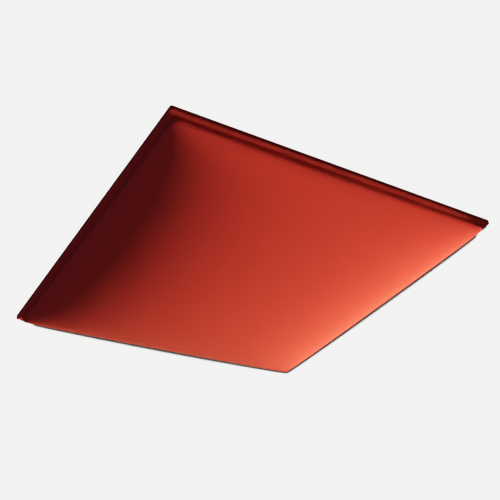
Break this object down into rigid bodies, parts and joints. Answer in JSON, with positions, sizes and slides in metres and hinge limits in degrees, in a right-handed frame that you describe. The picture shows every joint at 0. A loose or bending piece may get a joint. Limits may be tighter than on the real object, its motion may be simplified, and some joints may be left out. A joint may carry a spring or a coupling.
{
  "type": "acoustic ceiling tile",
  "caption": "Square red fabric acoustic ceiling tile with a softly domed, pillow-like face standing proud of a thin lay-in ledge.",
  "frame": {"origin": "centre of the flat back, on the floor that the tile lies on", "axes": "+Z from the back towards the crown of the domed face, X and Y along the sides of the square"},
  "size_m": [0.595, 0.595, 0.05],
  "materials": {
    "red_fabric": "matt fine knit, red"
  },
  "bodies": {
    "root": {"acoustic_tile": "red_fabric"}
  },
  "joints": []
}
